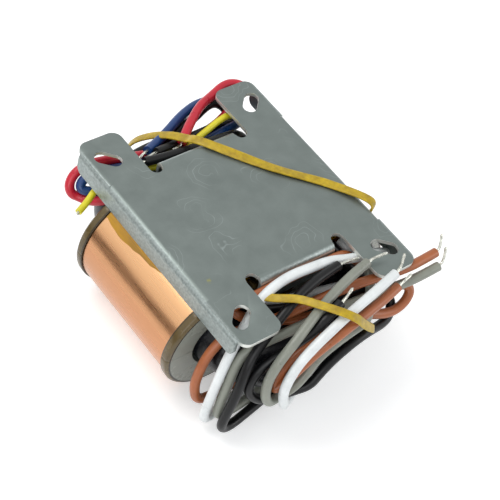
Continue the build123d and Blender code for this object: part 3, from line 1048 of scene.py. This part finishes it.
LEADS = (
    Lead("white_front", Tone.WHITE, ("white_lead_front", "secondary_hank"), (25.7, -37.1, 44.3), (
        (19.7, -40.6, 43.2), (14.3, -41.6, 42.5), (8.4, -42.6, 41.6), (1.9, -43.6, 40.6), (-4.6, -44.7, 39),
        (-10.6, -45.6, 36.9), (-15.8, -46.3, 33.2), (-18.4, -46.8, 27.6), (-18.4, -46.7, 21.6), (-16.4, -46.8, 15.4),
        (-13.4, -44.8, 10.1), (-5.9, -41.3, 8.5), (2.2, -38.2, 7.6), (10.3, -36, 7.7), (17.8, -35, 9),
        (23.7, -34.7, 12.3), (26.5, -34.2, 17.7), (26, -33.3, 23.4), (22.6, -32.2, 27.8), (16.7, -31.1, 30),
        (9.3, -30, 31), (1.5, -28.9, 31.7), (-5.6, -27.7, 32.6), (-11.5, -26.6, 33.8), (-16.4, -24, 35),
        (-16.4, -20, 35),
    )),
    Lead("grey_front", Tone.GREY, ("grey_lead_front", "secondary_hank"), (22.1, -34.2, 43.7), (
        (15.8, -33.5, 42.4), (10.2, -34.5, 42), (4.1, -35.9, 41.4), (-2.4, -37.8, 40.5), (-8.9, -40.1, 39.5),
        (-15.4, -42.4, 37.4), (-20.4, -43.4, 33.2), (-22.2, -43.5, 26.4), (-22.3, -44.2, 20.3), (-20.3, -44.8, 16.1),
        (-16.5, -44.1, 15.6), (-12.5, -45, 18), (-9.2, -44.9, 21.5), (-5.4, -43.9, 24.8), (-0.3, -43.5, 27.3),
        (5.7, -43.4, 29.2), (11.4, -43.3, 30.5), (14.8, -40.3, 31.1), (17.9, -36.4, 32.4), (20.6, -32.5, 33.8),
        (22.4, -28, 35), (22.4, -20, 35),
    )),
    Lead("black_front", Tone.BLACK, ("secondary_hank",), (6.6, -38.2, 42.2), (
        (1.1, -40.2, 41.2), (-3.5, -41.2, 40.2), (-7.4, -41.9, 37.3), (-12, -41.5, 34.7), (-16.3, -40.8, 31.8),
        (-20.5, -39.9, 28.7), (-23.6, -39.7, 24.5), (-24.9, -40, 19.9), (-23.1, -41.1, 16.1), (-18.8, -42.5, 13.4),
        (-13.8, -42.8, 12.9), (-9.7, -44.1, 13.7), (-6.4, -45.7, 15.8), (-3.7, -45.4, 18.9), (0.1, -45, 21.8),
        (5.3, -44.6, 24.1), (9.9, -44.2, 25), (13.7, -43.8, 24.8), (16.9, -43.3, 23.8), (20.2, -42.8, 23.2),
        (23.4, -41.9, 23.6), (25.9, -39.1, 26.1), (24.1, -36.4, 27.4), (20.5, -34.6, 29.2), (15.1, -33.7, 30.6),
        (8.4, -32.9, 31.6), (1.1, -31.9, 32.4), (-6.6, -30.7, 33.2), (-13.6, -28.7, 34.2), (-19.4, -25.5, 35),
        (-19.4, -20, 35),
    )),
    Lead("brown_front", Tone.BROWN, ("brown_lead_front", "secondary_hank"), (26.1, -41.4, 40), (
        (20.4, -42.5, 39.2), (14.8, -43.6, 38.4), (8.4, -44.5, 37.8), (2.4, -45.2, 37), (-3.4, -45.6, 35.2),
        (-7.8, -44.9, 31.2), (-11.9, -44.6, 26.8), (-15.4, -44.4, 22.7), (-18.9, -43.8, 19.7), (-17.5, -42.3, 21.8),
        (-15.1, -41.5, 24.9), (-10.7, -41.1, 27.2), (-5, -40.7, 28.4), (1.3, -40.7, 29), (7.8, -40.5, 28.9),
        (14.3, -40.3, 28.4), (18.9, -41.8, 26.9), (23.6, -42.7, 26.6), (27.7, -42.3, 28), (30, -40.9, 30.5),
        (28.4, -38.8, 32), (21, -37.5, 30), (12.6, -36.3, 29.4), (3.5, -35.3, 30), (-5, -33.6, 30.6),
        (-12.3, -31, 31.3), (-18.3, -28.2, 32.3), (-22.4, -25.5, 35), (-22.4, -20, 35),
    )),
    Lead("grey_end", Tone.GREY, ("grey_lead_end", "secondary_hank"), (41.9, -38.7, 39.8), (
        (38.1, -41.2, 36.2), (32.6, -41, 35.4), (26.8, -40.3, 34.4), (19.5, -39, 33.6), (10.1, -38.3, 34.1),
        (0.6, -37.5, 33.5), (-8.6, -36.8, 33), (-16.8, -35.9, 31.9), (-23.4, -34.3, 29.3), (-26.2, -34.8, 25.7),
        (-28.2, -36, 20), (-30, -36.8, 13.2), (-30.2, -37, 6.9), (-23.6, -36.5, 5.1), (-15.5, -35.2, 3.9),
        (-5.9, -33.5, 3.4), (4.2, -31.9, 3.5), (14, -30.2, 4.1), (22.9, -28.7, 6.4), (29.3, -28, 11.5),
        (32, -27.8, 18.6), (31.2, -26.6, 25.4), (28.7, -25.2, 30.9), (25.4, -24, 35), (25.4, -20, 35),
    )),
    Lead("brown_end", Tone.BROWN, ("brown_lead_end", "secondary_hank"), (42.6, -35.4, 41.5), (
        (39.1, -38, 38.2), (34.1, -38.1, 37.9), (28.8, -37.9, 37.4), (23.3, -36.9, 36.9), (17.5, -35.9, 36.9),
        (11.4, -35, 36.9), (4.1, -34.1, 36.3), (-3.6, -33.4, 35.7), (-11.3, -32.7, 34.8), (-18.5, -31.1, 33.1),
        (-24.6, -27.9, 30.1), (-29.2, -27.6, 24.9), (-32, -28.3, 19.1), (-33.3, -29.1, 13.1), (-32, -30.5, 7),
        (-23.4, -30.3, 5.6), (-13.3, -29.6, 4.7), (-2.6, -28.6, 4.5), (7.8, -27.5, 5.1), (17.5, -26.6, 6.8),
        (25.5, -25.9, 9.8), (29.9, -25.5, 15.7), (29.5, -25.8, 22.7), (24.9, -26.8, 28.1), (19.9, -27.2, 34),
        (15.4, -25.5, 37.9), (7.6, -25.7, 37.9), (0.2, -25.6, 39), (-6.5, -25.6, 39.2), (-11.9, -25.6, 38.3),
        (-17.2, -25.2, 37.6), (-22.7, -25, 37.5), (-25.4, -23.5, 35), (-25.4, -20, 35),
    )),
    Lead("black_end", Tone.BLACK, ("black_lead_end", "secondary_hank"), (15.3, -30.8, 41.7), (
        (9.2, -29.6, 40.7), (4, -30.1, 40.7), (-1.3, -30.9, 40.4), (-7.6, -32.1, 39), (-13.6, -34.1, 37),
        (-19.2, -36, 34.5), (-23.7, -37.3, 30.6), (-26.2, -38.6, 25), (-28.2, -39.7, 18.5), (-30, -40, 11.7),
        (-30.8, -40, 5.7), (-27.1, -39.7, 2.8), (-19.1, -38.6, 3.7), (-10.6, -37.2, 4.4), (-1.7, -35.2, 4.9),
        (7.3, -33.4, 6.1), (16.1, -32.4, 7.6), (23.8, -32.2, 10.6), (27.9, -31.8, 16.6), (27.5, -30.8, 23.4),
        (23.7, -29.6, 28), (18.6, -27.6, 30.6), (16.4, -25, 35), (16.4, -20, 35),
    )),
    Lead("white_top", Tone.WHITE, ("secondary_hank", "left_secondary_exits", "right_secondary_exits"),
         (30, -27.6, 38), (
        (34.6, -29.2, 31.4), (28.8, -29.1, 34.6), (22.6, -28.8, 37.3), (15.7, -28.4, 38.5), (8.6, -27, 40.4),
        (1.4, -26.9, 41.4), (-5.7, -26.6, 41.8), (-11.5, -27, 41.1), (-16.3, -27.6, 38.5), (-21.1, -29.8, 35.4),
        (-25.1, -31.8, 31.6), (-28.3, -33.1, 26.3), (-30.5, -34.1, 20.4), (-32.3, -35, 13.9), (-33.3, -35.2, 7.7),
        (-31.4, -34.9, 3.4), (-22.5, -33.3, 4.6), (-12.5, -32.2, 5.4), (-1.7, -31.2, 6), (8.8, -30.1, 6.7),
        (18.4, -29.5, 7.8), (25.9, -29.5, 11.1), (29.2, -29, 17.5), (29.4, -29, 24), (27.7, -27.8, 29.5),
        (23.8, -24.8, 31.9), (19.4, -24, 35), (19.4, -20, 35),
    )),
    Lead("red_main", Tone.RED, ("red_lead_loop", "red_lead_side", "primary_hank"), (-3.4, 28.9, 36), (
        (0.6, 30.2, 36), (3.6, 32.4, 36.9), (7.5, 35.3, 36.9), (13.4, 39.2, 36.9), (18.6, 40.9, 36.7),
        (25.2, 42.9, 37.5), (28.8, 41.9, 37.2), (30.1, 39.8, 37.1), (26.8, 38, 34.6), (22.6, 36.3, 32.4),
        (17.2, 35.3, 30.3), (10.6, 34.6, 29.7), (3, 34.3, 29.7), (-5, 34.3, 30.2), (-12.5, 35, 31.6),
        (-19.3, 36.4, 32.5), (-25.3, 38.1, 32), (-29.6, 38.5, 30.1), (-31.8, 37.6, 27.2), (-31.7, 36.1, 24.7),
        (-30, 34.8, 23.9), (-28.5, 32.2, 24), (-27.3, 29.5, 25.7), (-25.4, 27.2, 28), (-23, 25.4, 30),
        (-20.8, 24.5, 32.3), (-19.4, 23.6, 34.8), (-19.4, 20, 34.8),
    )),
    Lead("blue_main", Tone.BLUE, ("primary_hank",), (-12.6, 32.4, 33.2), (
        (-8.8, 33.5, 33.9), (-4.7, 35.2, 32.9), (1.8, 37.8, 33.3), (7.7, 40.7, 33.2), (14.1, 42.8, 33.1),
        (19.6, 43.6, 32.4), (23.9, 42.4, 31.1), (26.8, 39.9, 30.9), (27, 36.3, 31.5), (25.3, 33.2, 32.5),
        (22.7, 30.8, 33.4), (17.4, 30.2, 33.6), (11, 29.7, 32.9), (2.5, 30.3, 31.4), (-6, 31.2, 31),
        (-14.1, 32.4, 31.2), (-21.3, 34.2, 31.4), (-27.5, 36.1, 29.6), (-29.7, 35.4, 27.7), (-29.2, 34, 26.6),
        (-26.4, 32.3, 26.9), (-24.2, 30, 27.3), (-21.9, 28.2, 29), (-19.7, 27.3, 31.5), (-17.8, 25.9, 33.4),
        (-16.4, 24, 34.8), (-16.4, 20, 34.8),
    )),
    Lead("yellow_main", Tone.YELLOW, ("yellow_lead_end", "primary_hank"), (-37.5, 24.7, 30.55), (
        (-37, 25.3, 30.7), (-33, 27, 31), (-29, 29.2, 32.1), (-23.4, 29.8, 33.8), (-17.3, 29.2, 33.6),
        (-10.9, 28.1, 33.1), (-6.1, 27.8, 32.2), (0.4, 28.5, 33.4), (5.9, 30, 35.1), (10.6, 30.8, 36.3),
        (15, 31.6, 37.3), (18.7, 31.8, 37.8), (21.5, 30, 37.3), (23.4, 27.9, 36.9), (23.9, 26, 36.5),
        (22.9, 24.5, 36.1), (21.1, 23.4, 35.5), (19.4, 22, 34.8), (19.4, 20, 34.8),
    ), 1),
    Lead("black_near", Tone.BLACK, ("primary_hank",), (-12, 30.6, 34.6), (
        (-7.4, 31.1, 34.8), (-1.5, 31.9, 33.8), (4.4, 32.3, 33.7), (9.2, 32.6, 33.4), (14, 33, 33.1),
        (18.8, 33, 32.7), (22.2, 33.3, 31), (24.1, 35.4, 29.9), (24.3, 37.8, 30), (23.5, 39.5, 32),
        (20.7, 40.9, 33.6), (17.2, 40.6, 33.6), (12.6, 39.5, 31.9), (8.3, 38.8, 31), (4.3, 37.3, 30.6),
        (-1.8, 37.2, 30.1), (-7.9, 37.3, 29.6), (-13.5, 36.6, 29.1), (-18.2, 34.9, 28.5), (-21.6, 32.8, 28.7),
        (-23.6, 30.5, 30.5), (-24.1, 27.5, 31.7), (-23.6, 25.4, 33.7), (-22.4, 23, 34.8), (-22.4, 20, 34.8),
    )),
    Lead("black_far", Tone.BLACK, ("primary_hank", "left_primary_exits", "right_primary_exits"), (-17, 31.6, 33.6), (
        (-13.4, 28.8, 36.1), (-9.3, 28.2, 35.7), (-4.7, 27.7, 35.7), (0.4, 27, 35.9), (5.9, 26.7, 35.9),
        (11.6, 26.6, 35.8), (16.7, 26.4, 35.5), (19.1, 26.4, 33.9), (20.6, 25.9, 32.5), (20.6, 25.2, 31.9),
        (19.4, 24.5, 32.4), (17.9, 23.7, 33.6), (16.4, 22.6, 34.8), (16.4, 20, 34.8),
    )),
)


# rubber bands


@dataclass(frozen=True)
class Band:
    """A flat rubber band pulled round the part, with its flat side towards the hub."""

    name: str
    node: str
    hub: Point
    route: tuple[Point, ...]
    width: float = 2.3
    thickness: float = 0.75

    SIDES = 16
    STEPS = 10
    TWIST = 0.5
    NARROWING = 0.12
    TWIST_PATTERN = 45
    WIDTH_PATTERN = 70
    SQUARENESS = (0.45, 0.6)
    FLAT_BELOW = 2.0
    FREE_OVER = 8.0

    def build(self, finishes: Finishes) -> Piece:
        """Makes the band as a closed ribbon that lies flat against what it crosses.

        Args:
            finishes: the scene's materials.

        Returns:
            The band's piece.
        """
        line = smooth_line([mm(p) for p in self.route], self.STEPS, True)
        count, hub = len(line), mm(self.hub)
        rings = []
        for i, place in enumerate(line):
            ahead = (line[(i + 1) % count] - line[i - 1]).normalized()
            out = place - hub
            out = (out - ahead * out.dot(ahead)).normalized()
            loose = max(0.0, min(1.0, (place.z / MM - self.FLAT_BELOW) / self.FREE_OVER))
            lean = self.TWIST * loose * noise.noise(place * self.TWIST_PATTERN)
            out = Matrix.Rotation(lean, 3, ahead) @ out
            across = ahead.cross(out)
            slim = 1 - self.NARROWING * noise.noise(place * self.WIDTH_PATTERN)
            ring = []
            for k in range(self.SIDES):
                angle = 2 * math.pi * (k + 0.5) / self.SIDES
                u, v = (
                    math.copysign(abs(level) ** power, level) / 2
                    for level, power in zip((math.cos(angle), math.sin(angle)), self.SQUARENESS)
                )
                ring.append(place + (across * u * self.width * slim + out * v * self.thickness) * MM)
            rings.append(ring)
        mesh = mesh_from(skin_over(rings, closed=True), self.name)
        return add_piece(self.name, mesh, finishes.gum, "band_rubber", self.node)


BANDS = (
    Band("lead_tie", "lead_band", (1, -34, 24), (
        (-15.5, -27, 38.9), (-12.6, -30.2, 40.5), (-8.4, -33.8, 41.6), (-5, -38.8, 42.6), (-1.3, -44, 43),
        (1.4, -46.6, 41.8), (4.6, -47, 38), (8.2, -46.9, 34), (11.2, -46.2, 30.6), (12.6, -43.6, 28),
        (11.8, -40.4, 24), (9, -37.6, 17), (5, -34.6, 11), (0.8, -30.6, 9), (-2.6, -26.8, 9.8), (-5, -24.6, 14.4),
        (-6.4, -24.4, 25), (-10.2, -24.6, 28.9), (-14.2, -25.1, 32.6),
    )),
    Band("plate_tie", "plate_band", (14, 8, 22), (
        (2.2, 23.6, 41.7), (1, 29.2, 38.4), (-1, 34.6, 35.6), (-3.4, 39.6, 31.6), (-5.6, 43.6, 26.4),
        (-6.4, 45.4, 19.4), (-5.6, 43.6, 12), (-3.4, 38.4, 7.6), (-0.2, 31.2, 6.4), (5.9, 24.5, 3.8), (8.8, 18, 2.6),
        (15.2, 10, 0.95), (24, -3, 0.95), (32.2, -11, 4.9), (37.3, -15, 12.4), (38.3, -16.8, 21.5),
        (35.1, -17.1, 29.6), (32.05, -17.2, 35.8), (31.95, -16.6, 41.75), (25.4, -5.8, 41.52), (13.9, 7.3, 41.52),
    ), 2.8),
)


# coils and bracket


@dataclass(frozen=True)
class Coil:
    """One coil's visible skin: foil, amber tape and the moulded bobbin."""

    side: int
    foil_start: float = 8
    foil_thickness: float = 0.15
    tape_start: float = -24
    tape_thickness: float = 0.1
    rounding: float = 0.22

    ROWS = 44
    FACET = 2.4
    LEAST_FACETS = 12
    RIPPLE = 0.035
    RIPPLE_REPEATS = (4, 0.05)
    RIPPLE_SEED = (1.48, 0.9)

    def sheet(self, start: float, edge: Stops, radius: float, lift: float) -> Skin:
        """A thin curved sheet round the coil.

        Args:
            start: first angle from the top towards the outer side, in degrees.
            edge: pairs of Y in millimetres and last angle in degrees, in rising order of Y.
            radius: outer radius in millimetres.
            lift: thickness in millimetres.

        Returns:
            The sheet.
        """
        facets = max(self.LEAST_FACETS, int((edge[0][1] - start) / self.FACET))
        seed = Vector((self.RIPPLE_SEED[0], self.side * self.RIPPLE_SEED[1], 0))
        rows = []
        for j in range(self.ROWS + 1):
            y = FOIL_HALF * (2 * j / self.ROWS - 1)
            last = self.between(edge, y)
            row = []
            for i in range(facets + 1):
                angle = math.radians(start + (last - start) * i / facets)
                wave = Vector((angle * self.RIPPLE_REPEATS[0], y * self.RIPPLE_REPEATS[1], 0)) + seed
                reach = radius + self.RIPPLE * noise.noise(wave)
                x = self.side * (AXIS_X + reach * math.sin(angle))
                row.append(mm((x, y, AXIS_Z + reach * math.cos(angle))))
            rows.append(row)
        bm = skin_over(rows, wrapped=False)
        bmesh.ops.recalc_face_normals(bm, faces=bm.faces)
        axis = mm((self.side * AXIS_X, 0, AXIS_Z))
        probe = next(iter(bm.faces))
        if probe.normal.dot(probe.calc_center_median() - axis) < 0:
            bmesh.ops.reverse_faces(bm, faces=bm.faces)
        bmesh.ops.solidify(bm, geom=bm.faces[:], thickness=lift * MM)
        return bm

    @staticmethod
    def between(edge: Stops, y: float) -> float:
        """Reads a table of a sheet's edge.

        Args:
            edge: pairs of Y and angle, in rising order of Y.
            y: where to read it.

        Returns:
            The angle there.
        """
        for (y0, a0), (y1, a1) in zip(edge, edge[1:]):
            if y <= y1:
                share = max(0.0, (y - y0) / (y1 - y0))
                return a0 + (a1 - a0) * (3 - 2 * share) * share * share
        return edge[-1][1]

    def build(self, finishes: Finishes) -> None:
        """Makes the coil's visible pieces.

        Args:
            finishes: the scene's materials.
        """
        label = "left" if self.side < 0 else "right"
        foil = self.sheet(self.foil_start, FOIL_EDGE, FOIL_OUTER, self.foil_thickness)
        tape = self.sheet(self.tape_start, TAPE_EDGE, FOIL_OUTER + self.foil_thickness, self.tape_thickness)
        for name, bm, finish, slot in (
            (f"{label}_foil_wrap", foil, finishes.foil, "copper_foil"),
            (f"{label}_tape_strip", tape, finishes.film, "amber_tape"),
        ):
            add_piece(name, mesh_from(bm, name), finish, slot, f"{label}_{slot}")
        for half in ("upper", "lower"):
            node, name = f"{label}_bobbin_{half}_half", f"{label}_{half}_bobbin_shell"
            softened(node, name, self.rounding, finishes.moulding, "bobbin_plastic")


@dataclass(frozen=True)
class Transformer:
    """The whole object."""

    finishes: Finishes
    plate_rounding: float = 0.16

    def plain(self) -> None:
        """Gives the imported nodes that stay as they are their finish."""
        made_of, sleeve = self.finishes, self.finishes.sleeve
        kinds = {
            "winding": made_of.enamel, "insulation": made_of.film, "pad": made_of.foam, "core": made_of.varnish,
            "exits": sleeve(Tone.GREY), "hank": sleeve(Tone.BLACK), "lead": sleeve(Tone.GREY),
            "ends": made_of.tinned, "band": made_of.gum, "foil": made_of.foil, "tape": made_of.film,
            "bobbin": made_of.moulding, "bracket": made_of.zinc,
        }
        for node, made in frame["nodes"].items():
            finish = next(m for word, m in kinds.items() if word in node)
            made.data.materials.clear()
            made.data.materials.append(finish)
            for face in made.data.polygons:
                face.material_index = 0

    def build(self) -> None:
        """Makes every visible piece, bands and leads first."""
        lead_tie, _ = (band.build(self.finishes) for band in BANDS)
        for lead in LEADS:
            lead.build(self.finishes, (lead_tie,) if lead is LEADS[0] else ())
        self.plain()
        for side in (-1, 1):
            Coil(side).build(self.finishes)
        softened("bracket", "folded_bracket", self.plate_rounding, self.finishes.zinc, "zinc_plate", EAR_CORNER)


def main() -> None:
    """Builds the scene and reports its pieces."""
    finishes = Finishes()
    studio = Studio()
    studio.camera()
    Transformer(finishes).build()
    for made in bpy.context.scene.objects:
        if made.type in {"MESH", "CURVE"} and made.name not in frame["nodes"]:
            log.info("made %s", made.name)
    studio.build(finishes)


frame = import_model()

if __name__ == "__main__":
    main()
